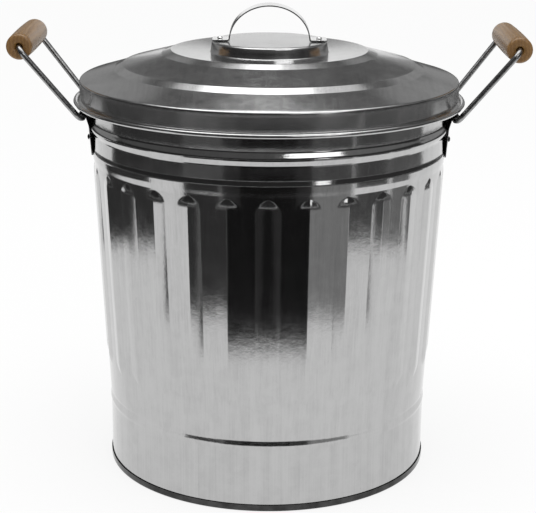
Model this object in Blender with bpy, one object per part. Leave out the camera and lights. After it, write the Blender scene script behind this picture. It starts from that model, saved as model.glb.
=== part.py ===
# Galvanised steel dustbin with a lift-off lid and two wood-gripped bails.
# Metres, +Z up. The origin is the centre of the foot, on the floor.
# The bails swing about lines parallel to Y, one at each side of the bin in X.
import math

import bmesh
import bpy
from mathutils import Matrix, Vector

# Sheet, clearance and facet counts
body_sheet = 0.0007
base_sheet = 0.0007
lid_sheet = 0.0007
strap_sheet = 0.0012
bracket_sheet = 0.0012
seat_gap = 0.0003
round_steps = 44
curl_steps = 6
smooth_angle = math.radians(35)
corner_cut_share = 0.3

# Body wall. Its height and its neck's outer radius lead, and the rest are steps from them
body_height = 0.3904
neck_radius = 0.1741
shoulder_bead_rise = 0.0017
shoulder_bead_drop = 0.0459
shoulder_bead_half_width = 0.0072
waist_step = 0.0008
waist_bead_rise = 0.0006
waist_bead_drop = 0.0709
waist_bead_half_width = 0.0058
bead_crest_share = 0.25
bead_upper_share = 0.30
bead_lower_share = 0.45
land_step = 0.0010
body_taper = 0.0123
swage_height = 0.0655
swage_rise = 0.0005
swage_flare = 0.0110
swage_step = 0.0020

# Pressed ribs, evenly spaced from the front. The lock seam lies between two of them at the back
rib_count = 29
rib_half_width = 0.0122
rib_height = 0.0016
rib_top_drop = 0.0789
rib_bottom = 0.1065
rib_end_share = 0.65
rib_column_shares = (-1, -0.5, 0, 0.5, 1)
seam_half_width = 0.0040
seam_height = 0.0012
seam_flat_share = 0.8
seam_column_shares = (-1, -0.7, 0.7, 1)

# Rim: the wall is rolled outwards round a steel wire
rim_wire_diameter = 0.0032
rim_wire_sides = 6
rim_wire_gap = 0.0005
rim_curl_turn = math.radians(290)
seam_top_drop = 0.0070

# Base pan, hooked round the foot of the wall
base_recess = 0.0100
base_corner_share = 0.35
foot_hook_height = 0.0064

# Lid. It clears the rim, and its rings are shares of its radius, with rises from the shoulder to the centre
lid_rim_clearance = 0.0054
lid_corner = 0.0016
outer_ring_share = 0.8185
outer_ring_rise = 0.0101
outer_step_share = 0.7736
outer_step_rise = 0.0043
inner_ring_share = 0.5683
inner_ring_rise = 0.0101
inner_step_share = 0.5181
inner_step_rise = 0.0036
boss_foot_share = 0.3101
boss_foot_drop = 0.0023
boss_slope = 0.0018
boss_rise = 0.0108
boss_corner = 0.0016
lid_skirt_depth = 0.0225
lid_edge_flare = 0.0061
lid_edge_roll = 0.0022
lid_edge_start = math.radians(150)
lid_edge_turn = math.radians(-250)
lid_waist_inset = 0.0004
lid_waist_drop = 0.0165

# Lid handle, a bent strap whose feet end at the edge of the boss
strap_width = 0.0240
strap_foot_margin = 0.0001
strap_rise = 0.0350
strap_foot_length = 0.0160
strap_foot_corner = 0.0030
strap_end_share = 0.55
strap_rivet_share = 0.55
strap_arch_steps = 14

# Bails, wire with a turned wood grip
wire_diameter = 0.0057
bail_reach = 0.0890
bail_pivot_half_width = 0.0495
bail_grip_half_width = 0.0614
bail_bend_radius = 0.0080
bail_bend_steps = 4
bail_butt_gap = 0.0008
bail_rest_angle = math.radians(51.4)
grip_diameter = 0.0258
grip_end_diameter = 0.0246
grip_length = 0.1110
grip_bore = 0.0066
grip_mouth = 0.0100
grip_edge = 0.0030
grip_steps = 16

# Brackets, plates riveted between the two beads, whose top is rolled round the bail
bracket_width = 0.0700
bracket_bottom_drop = 0.0030
pivot_rise = 0.0110
bracket_roll_turn = math.radians(305)
bracket_roll_steps = 9
bracket_columns = 7
bracket_corner = 0.0050
bracket_rivet_drop = 0.0115
bracket_rivet_spacing = 0.0440

# Rivets
rivet_shank_diameter = 0.0034
rivet_head_diameter = 0.0056
rivet_head_height = 0.0018
rivet_tail_diameter = 0.0048
rivet_tail_height = 0.0012
rivet_head_shares = ((0.45, 1), (0.85, 0.65))
rivet_tail_shares = ((0.8, 0.7), (0.4, 1))
rivet_steps = 8
cutter_overrun = 0.0040

# Worked out from the sizes above
shoulder_bead_radius = neck_radius + shoulder_bead_rise
shoulder_bead_height = body_height - shoulder_bead_drop
waist_radius = neck_radius - waist_step
waist_bead_radius = waist_radius + waist_bead_rise
waist_bead_height = body_height - waist_bead_drop
land_top_radius = waist_radius - land_step
foot_radius = land_top_radius - body_taper
swage_radius = foot_radius + swage_rise
rib_top = body_height - rib_top_drop
rim_roll = rim_wire_diameter / 2 + rim_wire_gap + body_sheet / 2
rim_centre_radius = neck_radius - body_sheet / 2 + rim_roll
rim_centre_height = body_height - rim_roll - body_sheet / 2
lid_shoulder_radius = rim_centre_radius + rim_roll + body_sheet / 2 + lid_rim_clearance + lid_sheet
outer_ring_radius = lid_shoulder_radius * outer_ring_share
outer_step_radius = lid_shoulder_radius * outer_step_share
inner_ring_radius = lid_shoulder_radius * inner_ring_share
inner_step_radius = lid_shoulder_radius * inner_step_share
boss_foot_radius = lid_shoulder_radius * boss_foot_share
boss_radius = boss_foot_radius - boss_slope
lid_edge_radius = lid_shoulder_radius + lid_edge_flare
lid_waist_radius = lid_shoulder_radius - lid_waist_inset
lid_slope = outer_ring_rise / (lid_shoulder_radius - outer_ring_radius)
lid_seat_rise = (rim_roll + body_sheet / 2 + seat_gap + lid_sheet) * math.hypot(1, lid_slope)
lid_fall = lid_slope * (lid_shoulder_radius - rim_centre_radius)
lid_shoulder_height = rim_centre_height + lid_seat_rise - lid_fall
outer_ring_height = lid_shoulder_height + outer_ring_rise
outer_step_height = outer_ring_height + outer_step_rise
inner_ring_height = outer_step_height + inner_ring_rise
inner_step_height = inner_ring_height + inner_step_rise
boss_foot_height = inner_step_height - boss_foot_drop
boss_height = boss_foot_height + boss_rise
strap_half_span = boss_radius - strap_foot_margin - strap_foot_length
strap_rivet_place = strap_half_span + strap_foot_length * strap_rivet_share
bracket_roll = wire_diameter / 2 + seat_gap + bracket_sheet / 2
bracket_radius = shoulder_bead_radius + seat_gap + bracket_sheet / 2
pivot_radius = bracket_radius + bracket_roll
pivot_height = shoulder_bead_height + pivot_rise
bracket_bottom = waist_bead_height - bracket_bottom_drop
bracket_rivet_height = shoulder_bead_height - bracket_rivet_drop
rib_pitch = 2 * math.pi / rib_count


def clear_scene():
    for old in list(bpy.data.objects):
        bpy.data.objects.remove(old, do_unlink=True)


def make_material(name, colour, roughness, metallic):
    material = bpy.data.materials.new(name)
    material.use_nodes = True
    shader = material.node_tree.nodes["Principled BSDF"]
    shader.inputs["Base Color"].default_value = (*colour, 1)
    shader.inputs["Roughness"].default_value = roughness
    shader.inputs["Metallic"].default_value = metallic
    return material


def add_object(name, mesh, material, parent=None):
    thing = bpy.data.objects.new(name, mesh)
    bpy.context.scene.collection.objects.link(thing)
    thing.parent = parent
    mesh.materials.append(material)
    mesh.shade_smooth()
    mesh.set_sharp_from_angle(angle=smooth_angle)
    return thing


def add_empty(name, place, turn_about_z=0):
    empty = bpy.data.objects.new(name, None)
    bpy.context.scene.collection.objects.link(empty)
    empty.location = place
    empty.rotation_euler = (0, 0, turn_about_z)
    return empty


def add_thickness(thing, sheet):
    # The modelled surface is the middle of the sheet
    solid = thing.modifiers.new("sheet", "SOLIDIFY")
    solid.thickness = sheet
    solid.offset = 0
    solid.use_even_offset = True


def arc_points(centre, radius, start, turn, steps):
    # Points of an arc in the radius and height plane, both ends included
    points = []
    for step in range(steps + 1):
        angle = start + turn * step / steps
        points.append((centre[0] + radius * math.cos(angle), centre[1] + radius * math.sin(angle)))
    return points


def plain_angles():
    # Angle 0 is the front, -Y. The seam at the back has its own columns
    half = seam_half_width / neck_radius
    angles = [2 * math.pi * step / round_steps for step in range(round_steps)]
    angles = [angle for angle in angles if abs(angle - math.pi) > half]
    for share in seam_column_shares:
        angles.append(math.pi + share * half)
    return sorted(angles)


def ribbed_angles():
    # Five columns to each rib, four to the seam
    half_rib = rib_half_width / land_top_radius
    half_seam = seam_half_width / neck_radius
    angles = [place * rib_pitch + share * half_rib
              for place in range(rib_count) for share in rib_column_shares]
    angles += [math.pi + share * half_seam for share in seam_column_shares]
    return sorted(angle % (2 * math.pi) for angle in angles)


def seam_lift(angle):
    across = abs(angle - math.pi) * neck_radius / seam_half_width
    return seam_height if across < seam_flat_share else 0


def rib_lift(angle, height):
    # A rounded ridge whose ends are domes of the rib's own half width
    centre = round(angle / rib_pitch) * rib_pitch
    across = (angle - centre) * land_top_radius / rib_half_width
    above = height - (rib_top - rib_half_width)
    below = (rib_bottom + rib_half_width) - height
    along = max(above, below, 0) / rib_half_width
    distance = min(math.hypot(across, along), 1)
    return rib_height * (0.5 + 0.5 * math.cos(math.pi * distance))


def ring_surface(mesh_name, rings, closed=False, cap_start=False, cap_end=False):
    # Each ring is a list of angles and a function from an angle to a radius and a height.
    # Neighbouring rings may have different angles, and the strip between them is zipped by angle.
    model = bmesh.new()
    loops = []
    for angles, place in rings:
        loop = []
        for angle in angles:
            radius, height = place(angle)
            point = (radius * math.sin(angle), -radius * math.cos(angle), height)
            loop.append((angle, model.verts.new(point)))
        loops.append(loop)
    strips = list(zip(loops, loops[1:]))
    if closed:
        strips.append((loops[-1], loops[0]))
    for upper, lower in strips:
        zip_strip(model, upper, lower)
    if cap_start:
        model.faces.new([vert for angle, vert in reversed(loops[0])])
    if cap_end:
        model.faces.new([vert for angle, vert in loops[-1]])
    bmesh.ops.recalc_face_normals(model, faces=model.faces)
    return finished_mesh(mesh_name, model)


def finished_mesh(mesh_name, model):
    mesh = bpy.data.meshes.new(mesh_name)
    model.to_mesh(mesh)
    model.free()
    return mesh


def zip_strip(model, upper, lower):
    if [angle for angle, vert in upper] == [angle for angle, vert in lower]:
        count = len(upper)
        for step in range(count):
            after = (step + 1) % count
            model.faces.new((upper[step][1], lower[step][1], lower[after][1], upper[after][1]))
        return
    full = 2 * math.pi
    above = upper + [(upper[0][0] + full, upper[0][1])]
    below = lower + [(lower[0][0] + full, lower[0][1])]
    i = 0
    j = 0
    while i < len(above) - 1 or j < len(below) - 1:
        step_above = j == len(below) - 1 or (i < len(above) - 1 and above[i + 1][0] <= below[j + 1][0])
        if step_above:
            model.faces.new((above[i][1], below[j][1], above[i + 1][1]))
            i += 1
        else:
            model.faces.new((above[i][1], below[j][1], below[j + 1][1]))
            j += 1


def no_lift(angle):
    return 0


def turned_rings(outline, angles, lift=no_lift):
    # Rings for a turned outline, each point a radius and a height
    rings = []
    for radius, height in outline:
        rings.append((angles, lambda angle, r=radius, z=height: (r + lift(angle), z)))
    return rings


def bead_points(radius, height, half_width, base_above, base_below):
    # A pressed bead: a straight flank above, a rounded crest and a straight flank below
    return [(base_above, height + half_width),
            (radius - (radius - base_above) * bead_crest_share, height + half_width * bead_upper_share),
            (radius, height),
            (radius - (radius - base_below) * bead_lower_share, height - half_width * bead_lower_share),
            (base_below, height - half_width)]


def land_radius(height):
    # The straight taper of the ribbed wall
    fraction = (height - swage_height) / (rib_top - swage_height)
    return foot_radius + (land_top_radius - foot_radius) * fraction


def make_body_wall(material):
    half = body_sheet / 2
    plain = plain_angles()
    ribbed = ribbed_angles()
    rim = arc_points((rim_centre_radius, rim_centre_height), rim_roll,
                     math.pi - rim_curl_turn, rim_curl_turn, curl_steps)
    seam_top = rim_centre_height - seam_top_drop
    neck = [(neck_radius - half, seam_top + 2 * seam_height)]
    bands = [(neck_radius, seam_top)]
    bands += bead_points(shoulder_bead_radius, shoulder_bead_height, shoulder_bead_half_width,
                         neck_radius, waist_radius)
    bands += bead_points(waist_bead_radius, waist_bead_height, waist_bead_half_width,
                         waist_radius, land_top_radius)
    rings = turned_rings(rim + neck, plain)
    rings += turned_rings([(radius - half, height) for radius, height in bands], plain, seam_lift)

    end_rise = rib_end_share * rib_half_width
    for height in (rib_top, rib_top - rib_half_width + end_rise, rib_top - rib_half_width,
                   rib_bottom + rib_half_width, rib_bottom + rib_half_width - end_rise, rib_bottom):
        def place(angle, height=height):
            return land_radius(height) - half + rib_lift(angle, height) + seam_lift(angle), height
        rings.append((ribbed, place))

    seam_foot = foot_hook_height + 2 * seam_height
    flare_top = swage_height + swage_flare
    foot = [(land_radius(flare_top), flare_top), (swage_radius, swage_height),
            (foot_radius, swage_height - swage_step), (foot_radius, seam_foot)]
    rings += turned_rings([(radius - half, height) for radius, height in foot], plain, seam_lift)
    hem = [(foot_radius - half, foot_hook_height + seam_height / 2),
           (foot_radius - half, base_sheet + seat_gap)]
    rings += turned_rings(hem, plain)
    wall = add_object("body_wall", ring_surface("body_wall", rings), material)
    add_thickness(wall, body_sheet)
    return wall


def make_rim_wire(material):
    section = arc_points((rim_centre_radius, rim_centre_height), rim_wire_diameter / 2,
                         0, 2 * math.pi, rim_wire_sides)
    rings = turned_rings(section[:-1], plain_angles())
    return add_object("body_rim_wire", ring_surface("body_rim_wire", rings, closed=True), material)


def make_base_pan(material):
    half = base_sheet / 2
    inside = foot_radius - body_sheet - seat_gap - half
    outside = foot_radius + seat_gap + half
    corner = base_recess * base_corner_share
    cut = corner * corner_cut_share
    outline = [(inside - corner, base_recess), (inside - cut, base_recess - cut),
               (inside, base_recess - corner), (inside, half), (outside, half), (outside, foot_hook_height)]
    rings = turned_rings(outline, plain_angles())
    pan = add_object("base_pan", ring_surface("base_pan", rings, cap_start=True), material)
    add_thickness(pan, base_sheet)
    return pan


def make_lid_pan(material):
    half = lid_sheet / 2
    roll_centre = (lid_edge_radius - lid_edge_roll, lid_shoulder_height - lid_skirt_depth + lid_edge_roll)
    top = [(boss_radius - boss_corner, boss_height), (boss_radius, boss_height - boss_corner),
           (boss_foot_radius, boss_foot_height), (inner_step_radius, inner_step_height),
           (inner_ring_radius, inner_ring_height), (outer_step_radius, outer_step_height),
           (outer_ring_radius, outer_ring_height),
           (lid_shoulder_radius - lid_corner, lid_shoulder_height + lid_slope * lid_corner),
           (lid_shoulder_radius, lid_shoulder_height - lid_corner)]
    waist_height = lid_shoulder_height - lid_waist_drop
    gutter_height = roll_centre[1] + lid_edge_roll / 2
    skirt = [(lid_waist_radius, waist_height), (lid_waist_radius + lid_edge_roll / 2, gutter_height)]
    outline = [(radius, height - half) for radius, height in top[:-1]]
    outline += [(radius - half, height) for radius, height in top[-1:] + skirt]
    outline += arc_points(roll_centre, lid_edge_roll - half, lid_edge_start, lid_edge_turn, curl_steps)
    rings = turned_rings(outline, plain_angles())
    pan = add_object("lid_pan", ring_surface("lid_pan", rings, cap_start=True), material)
    add_thickness(pan, lid_sheet)
    return pan


def ribbon_mesh(mesh_name, rows):
    # Rows of points, all with the same count, joined by four-sided faces
    model = bmesh.new()
    grid = [[model.verts.new(point) for point in row] for row in rows]
    for upper, lower in zip(grid, grid[1:]):
        for column in range(len(upper) - 1):
            model.faces.new((upper[column], lower[column], lower[column + 1], upper[column + 1]))
    bmesh.ops.recalc_face_normals(model, faces=model.faces)
    return finished_mesh(mesh_name, model)


def make_lid_handle(material):
    floor = boss_height + seat_gap + strap_sheet / 2
    half_span = strap_half_span - strap_sheet / 2
    end = strap_half_span + strap_foot_length
    foot = [(-end, floor, strap_end_share), (-end + strap_foot_corner, floor, 1),
            (-half_span - strap_foot_corner, floor, 1), (-half_span, floor + strap_foot_corner / 2, 1)]
    rise = strap_rise - seat_gap - strap_sheet
    path = list(foot)
    for step in range(1, strap_arch_steps):
        angle = math.pi * (1 - step / strap_arch_steps)
        path.append((half_span * math.cos(angle), floor + rise * math.sin(angle), 1))
    path += [(-across, height, share) for across, height, share in reversed(foot)]
    half_width = strap_width / 2
    rows = [[(across, -half_width * share, height), (across, half_width * share, height)]
            for across, height, share in path]
    strap = add_object("lid_handle_strap", ribbon_mesh("lid_handle_strap", rows), material)
    add_thickness(strap, strap_sheet)
    return strap


def rounded_path(corners, radius, steps):
    # The first and last points stay, and every corner between is rounded
    path = [corners[0]]
    for before, corner, after in zip(corners, corners[1:], corners[2:]):
        into = (before - corner).normalized()
        out = (after - corner).normalized()
        half_angle = into.angle(out) / 2
        middle = corner + (into + out).normalized() * radius / math.sin(half_angle)
        start = corner + into * radius / math.tan(half_angle) - middle
        axis = into.cross(out).normalized()
        for step in range(steps + 1):
            turn = (2 * half_angle - math.pi) * step / steps
            path.append(middle + Matrix.Rotation(turn, 3, axis) @ start)
    path.append(corners[-1])
    return path


def make_bail(name, material, pivot):
    # Local X runs out along the arms from the pivot, and local Y along the pivot
    butt = bail_butt_gap / 2
    pivot_half = bail_pivot_half_width
    grip_half = bail_grip_half_width
    corners = [Vector((0, butt, 0)), Vector((0, pivot_half, 0)), Vector((bail_reach, grip_half, 0)),
               Vector((bail_reach, -grip_half, 0)), Vector((0, -pivot_half, 0)), Vector((0, -butt, 0))]
    path = rounded_path(corners, bail_bend_radius, bail_bend_steps)
    curve = bpy.data.curves.new(name, "CURVE")
    curve.dimensions = "3D"
    curve.bevel_depth = wire_diameter / 2
    curve.bevel_resolution = 2
    curve.use_fill_caps = True
    spline = curve.splines.new("POLY")
    spline.points.add(len(path) - 1)
    for point, place in zip(spline.points, path):
        point.co = (*place, 1)
    curve.materials.append(material)
    bail = bpy.data.objects.new(name, curve)
    bpy.context.scene.collection.objects.link(bail)
    bail.parent = pivot
    bail.rotation_euler = (0, -bail_rest_angle, 0)
    return bail


def make_grip(name, material, bail):
    end = grip_length / 2
    end_radius = grip_end_diameter / 2
    mouth = grip_mouth / 2
    bore = grip_bore / 2
    cut = grip_edge * corner_cut_share
    outside = [(mouth, -end), (end_radius - grip_edge, -end), (end_radius - cut, -end + cut),
               (end_radius, -end + grip_edge), ((end_radius + grip_diameter / 2) / 2, -end / 2),
               (grip_diameter / 2, 0)]
    outside += [(radius, -along) for radius, along in reversed(outside[:-1])]
    inside = [(bore, end - (mouth - bore)), (bore, -end + (mouth - bore))]
    angles = [2 * math.pi * step / grip_steps for step in range(grip_steps)]
    mesh = ring_surface(name, turned_rings(outside + inside, angles), closed=True)
    mesh.transform(Matrix.Rotation(math.pi / 2, 4, "X"))
    grip = add_object(name, mesh, material, bail)
    grip.location = (bail_reach, 0, 0)
    return grip


def bracket_line(height):
    # Middle of the plate, which lies on the crests of both beads
    low = waist_bead_radius + seat_gap + bracket_sheet / 2
    fraction = (height - waist_bead_height) / (shoulder_bead_height - waist_bead_height)
    return low + (bracket_radius - low) * min(fraction, 1)


def make_bracket(name, material, side):
    heights = [bracket_bottom, bracket_bottom + bracket_corner, bracket_rivet_height, shoulder_bead_height]
    profile = [(bracket_line(height), height, 1) for height in heights]
    for radius, height in arc_points((pivot_radius, pivot_height), bracket_roll, math.pi,
                                     -bracket_roll_turn, bracket_roll_steps):
        profile.append((radius, height, 0))
    rows = []
    for radius, height, bend in profile:
        row = []
        narrow = bracket_corner if height == bracket_bottom else 0
        for column in range(bracket_columns):
            across = (2 * column / (bracket_columns - 1) - 1) * (bracket_width / 2 - narrow)
            curved = math.sqrt(radius * radius - across * across)
            row.append((radius + (curved - radius) * bend, across, height))
        rows.append(row)
    bracket = add_object(name, ribbon_mesh(name, rows), material, side)
    add_thickness(bracket, bracket_sheet)
    return bracket


def rivet_outline(grip):
    # A turned rivet along Z: the domed head seats at 0 and the tail at -grip
    shank = rivet_shank_diameter / 2
    head = rivet_head_diameter / 2
    tail = rivet_tail_diameter / 2
    outline = [(head * out, rivet_head_height * up) for out, up in rivet_head_shares]
    outline += [(head, 0), (shank, 0), (shank, -grip), (tail, -grip)]
    outline += [(tail * out, -grip - rivet_tail_height * down) for out, down in rivet_tail_shares]
    return outline


def make_rivets(names, material, grip, places, side=None):
    # Like rivets share one mesh, and each is its own object on its own frame
    angles = [2 * math.pi * step / rivet_steps for step in range(rivet_steps)]
    mesh = ring_surface(names[0], turned_rings(rivet_outline(grip), angles), cap_start=True, cap_end=True)
    mesh.materials.append(material)
    mesh.shade_smooth()
    mesh.set_sharp_from_angle(angle=smooth_angle)
    for name, place in zip(names, places):
        rivet = bpy.data.objects.new(name, mesh)
        bpy.context.scene.collection.objects.link(rivet)
        rivet.parent = side
        rivet.matrix_local = place


def cut_holes(things, name, places, side=None):
    # One hidden cutter with a cylinder on each rivet's frame
    model = bmesh.new()
    hole_radius = rivet_shank_diameter / 2 + seat_gap
    for place in places:
        bmesh.ops.create_cone(model, cap_ends=True, segments=rivet_steps, depth=4 * cutter_overrun,
                              radius1=hole_radius, radius2=hole_radius, matrix=place)
    cutter = bpy.data.objects.new(name, finished_mesh(name, model))
    bpy.context.scene.collection.objects.link(cutter)
    cutter.parent = side
    cutter.hide_render = True
    cutter.display_type = "WIRE"
    for thing in things:
        hole = thing.modifiers.new(name, "BOOLEAN")
        hole.operation = "DIFFERENCE"
        hole.object = cutter


def main():
    clear_scene()
    steel = make_material("galvanised_steel", (0.62, 0.63, 0.64), 0.22, 1)
    lid_steel = make_material("galvanised_lid", (0.55, 0.56, 0.57), 0.26, 1)
    bright_steel = make_material("bright_strap", (0.70, 0.70, 0.70), 0.18, 1)
    dark_steel = make_material("dark_bracket", (0.16, 0.16, 0.17), 0.40, 1)
    wire_steel = make_material("zinc_wire", (0.48, 0.49, 0.50), 0.32, 1)
    wood = make_material("turned_wood", (0.52, 0.33, 0.15), 0.55, 0)

    wall = make_body_wall(steel)
    make_rim_wire(wire_steel)
    make_base_pan(steel)
    lid = make_lid_pan(lid_steel)
    strap = make_lid_handle(bright_steel)

    # The strap's rivets seat on its feet and under the boss
    strap_seat = boss_height + seat_gap + strap_sheet + seat_gap
    strap_grip = strap_seat - (boss_height - lid_sheet - seat_gap)
    strap_places = [Matrix.Translation((sign * strap_rivet_place, 0, strap_seat)) for sign in (-1, 1)]
    make_rivets(("lid_handle_left_rivet", "lid_handle_right_rivet"), bright_steel, strap_grip, strap_places)
    cut_holes((lid, strap), "strap_holes", strap_places)

    # The brackets' rivets seat on the plate and inside the wall, square to both
    plate_outside = bracket_line(bracket_rivet_height) + bracket_sheet / 2
    rivet_turn = math.asin(bracket_rivet_spacing / 2 / plate_outside)
    wall_inside = (waist_radius - body_sheet) * math.cos(math.pi / round_steps)
    head_seat = plate_outside + seat_gap
    tail_seat = wall_inside - seat_gap
    for name, turn in (("right", 0), ("left", math.pi)):
        side = add_empty(name + "_side", (0, 0, 0), turn)
        places = [Matrix.Rotation(sign * rivet_turn, 4, "Z")
                  @ Matrix.Translation((head_seat, 0, bracket_rivet_height))
                  @ Matrix.Rotation(math.pi / 2, 4, "Y") for sign in (-1, 1)]
        bracket = make_bracket(name + "_bracket", dark_steel, side)
        rivet_names = (name + "_bracket_rivet_1", name + "_bracket_rivet_2")
        make_rivets(rivet_names, dark_steel, head_seat - tail_seat, places, side)
        cut_holes((bracket, wall), name + "_bracket_holes", places, side)
        pivot = add_empty(name + "_pivot", (pivot_radius, 0, pivot_height))
        pivot.parent = side
        bail = make_bail(name + "_bail", wire_steel, pivot)
        make_grip(name + "_grip", wood, bail)


main()
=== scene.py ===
import math
import bpy
import numpy as np
from mathutils import Matrix, Vector


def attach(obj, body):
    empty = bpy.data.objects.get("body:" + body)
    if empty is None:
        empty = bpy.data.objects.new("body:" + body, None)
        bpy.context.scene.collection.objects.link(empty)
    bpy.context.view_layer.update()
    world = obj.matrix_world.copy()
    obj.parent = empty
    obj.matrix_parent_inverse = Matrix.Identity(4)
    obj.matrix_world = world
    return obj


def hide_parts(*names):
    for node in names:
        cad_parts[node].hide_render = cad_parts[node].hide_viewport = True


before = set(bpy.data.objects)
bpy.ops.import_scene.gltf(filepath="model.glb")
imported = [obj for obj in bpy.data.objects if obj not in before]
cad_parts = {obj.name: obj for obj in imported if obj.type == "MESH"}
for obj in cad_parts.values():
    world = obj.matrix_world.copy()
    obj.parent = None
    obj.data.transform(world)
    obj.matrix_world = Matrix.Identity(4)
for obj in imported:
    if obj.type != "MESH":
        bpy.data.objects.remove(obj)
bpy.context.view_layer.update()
print("frame loaded:", len(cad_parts), "nodes")

# helpers for shapes: every shape is worked out as whole arrays and put into one mesh


def gridFaces(rows, columns, closeRows=False, closeColumns=False):
    # four-sided faces between neighbours of a rows x columns grid of points
    down = np.arange(rows if closeRows else rows - 1)
    across = np.arange(columns if closeColumns else columns - 1)
    row, column = np.meshgrid(down, across, indexing="ij")
    here, below, right = row * columns, (row + 1) % rows * columns, (column + 1) % columns
    return np.stack([here + column, below + column, below + right, here + right], -1).reshape(-1, 4)


def volumeOf(points, faces):
    # six times the volume: the sum of triple products of each triangle, positive where faces point out
    a, b, c = points[faces[:, 0]], points[faces[:, 1]], points[faces[:, 2]]
    total = np.einsum("ij,ij->", a, np.cross(b, c))
    if faces.shape[1] == 4:
        d = points[faces[:, 3]]
        total += np.einsum("ij,ij->", a, np.cross(c, d))
    return total


def makePiece(name, points, faceSets, finish, body, stands=(), sharpDegrees=40):
    # faceSets are arrays of three- and four-sided faces over the same points, turned to point out
    points = np.asarray(points, float)
    if sum(volumeOf(points, faces) for faces in faceSets) < 0:
        faceSets = [faces[:, ::-1] for faces in faceSets]
    mesh = bpy.data.meshes.new(name)
    mesh.from_pydata(points.tolist(), [], [face for faces in faceSets for face in faces.tolist()])
    mesh.shade_smooth()
    mesh.set_sharp_from_angle(angle=math.radians(sharpDegrees))
    mesh.materials.append(finish)
    piece = bpy.data.objects.new(name, mesh)
    bpy.context.scene.collection.objects.link(piece)
    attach(piece, body)
    if stands:
        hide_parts(*stands)
    return piece


def fan(ring, pole):
    # triangles from a closed ring of point numbers to one pole
    return np.stack([ring, np.roll(ring, -1), np.full(len(ring), pole)], 1)


def turned(outline, angles, lift=None, poles=False):
    # point = ((r + lift) sin a, -(r + lift) cos a, z): a closed outline of radii and heights turned about Z.
    # With poles the outline starts and ends on the axis, where a single point closes it.
    outline = np.asarray(outline, float)
    if poles:
        first, last, outline = outline[0], outline[-1], outline[1:-1]
    radius = np.repeat(outline[:, :1], len(angles), 1)
    height = np.repeat(outline[:, 1:], len(angles), 1)
    if lift is not None:
        radius = radius + lift(np.broadcast_to(angles, radius.shape), height)
    points = np.stack([radius * np.sin(angles), -radius * np.cos(angles), height], -1).reshape(-1, 3)
    count, columns = len(outline), len(angles)
    faces = gridFaces(count, columns, not poles, True)
    if not poles:
        return points, [faces]
    number = len(points)
    points = np.vstack([points, [[0, 0, first[1]], [0, 0, last[1]]]])
    top = fan(np.arange(columns), number)
    bottom = fan(np.arange((count - 1) * columns, count * columns), number + 1)[:, ::-1]
    return points, [faces, np.vstack([top, bottom])[:, ::-1]]


def arc(centre, radius, start, turn, steps):
    # centre + radius (cos a, sin a) in the radius and height plane, both ends included, angles in degrees
    angle = np.radians(start + turn * np.arange(steps + 1) / steps)
    return np.stack([centre[0] + radius * np.cos(angle), centre[1] + radius * np.sin(angle)], 1)


def rounded(corners, radii, steps=5):
    # a line of corners with each inner corner replaced by an arc that touches both of its sides:
    # point = middle + (start sin((1 - t) w) + end sin(t w)) / sin w, with w the arc's angle and t from 0 to 1
    corners = np.asarray(corners, float)
    path = [corners[:1]]
    for before, corner, after, radius in zip(corners, corners[1:], corners[2:], radii):
        into, out = before - corner, after - corner
        into, out = into / np.linalg.norm(into), out / np.linalg.norm(out)
        half = math.acos(max(-1, min(1, float(into @ out)))) / 2
        if math.pi / 2 - half < 0.01:  # all but straight
            path.append(corner[None])
            continue
        reach = radius / math.tan(half)
        middle = corner + (into + out) / np.linalg.norm(into + out) * radius / math.sin(half)
        start, end = corner + into * reach - middle, corner + out * reach - middle
        share = np.arange(steps + 1)[:, None] / steps
        swing = math.pi - 2 * half
        bow = start * np.sin((1 - share) * swing) + end * np.sin(share * swing)
        path.append(middle + bow / math.sin(swing))
    path.append(corners[-1:])
    return np.vstack(path)


def sheetOutline(middle, thickness):
    # middle line + and - half a thickness along its normal, joined to one closed outline
    middle = np.asarray(middle, float)
    along = np.gradient(middle, axis=0)
    along /= np.linalg.norm(along, axis=1, keepdims=True)
    aside = np.stack([-along[:, 1], along[:, 0]], 1) * thickness / 2
    return np.vstack([middle + aside, (middle - aside)[::-1]])


def swept(path, upDirection, section):
    # each point = path + u (along x up) + v up, with the section's (u, v) round a path that lies in a plane
    path, section = np.asarray(path, float), np.asarray(section, float)
    along = np.gradient(path, axis=0)
    along /= np.linalg.norm(along, axis=1, keepdims=True)
    up = np.broadcast_to(np.asarray(upDirection, float), along.shape)
    aside = np.cross(along, up)
    aside /= np.linalg.norm(aside, axis=1, keepdims=True)
    points = path[:, None] + aside[:, None] * section[None, :, :1] + up[:, None] * section[None, :, 1:]
    rows, columns = len(path), len(section)
    number = rows * columns
    points = np.vstack([points.reshape(-1, 3), path[:1], path[-1:]])
    first, last = np.arange(columns), np.arange(number - columns, number)
    ends = np.vstack([fan(first, number)[:, ::-1], fan(last, number + 1)])
    return points, [gridFaces(rows, columns, False, True)[:, ::-1], ends[:, ::-1]]


def slab(middle, thickness):
    # a sheet from a grid of middle points: both faces are half a thickness away along the grid's normal
    rows, columns = middle.shape[:2]
    normal = np.cross(np.gradient(middle, axis=0), np.gradient(middle, axis=1))
    normal /= np.linalg.norm(normal, axis=2, keepdims=True)
    above, below = middle + normal * thickness / 2, middle - normal * thickness / 2
    points = np.vstack([above.reshape(-1, 3), below.reshape(-1, 3)])
    top = gridFaces(rows, columns)
    number = np.arange(rows * columns).reshape(rows, columns)
    rim = np.concatenate([number[0, :-1], number[:-1, -1], number[-1, :0:-1], number[:0:-1, 0]])
    sides = np.stack([rim, rim + rows * columns, np.roll(rim, -1) + rows * columns, np.roll(rim, -1)], 1)
    return points, [np.vstack([top, top[:, ::-1] + rows * columns, sides[:, ::-1]])]


def placed(points, matrix):
    # the points carried by a 4 x 4 matrix
    matrix = np.array(matrix)
    return points @ matrix[:3, :3].T + matrix[:3, 3]


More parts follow.
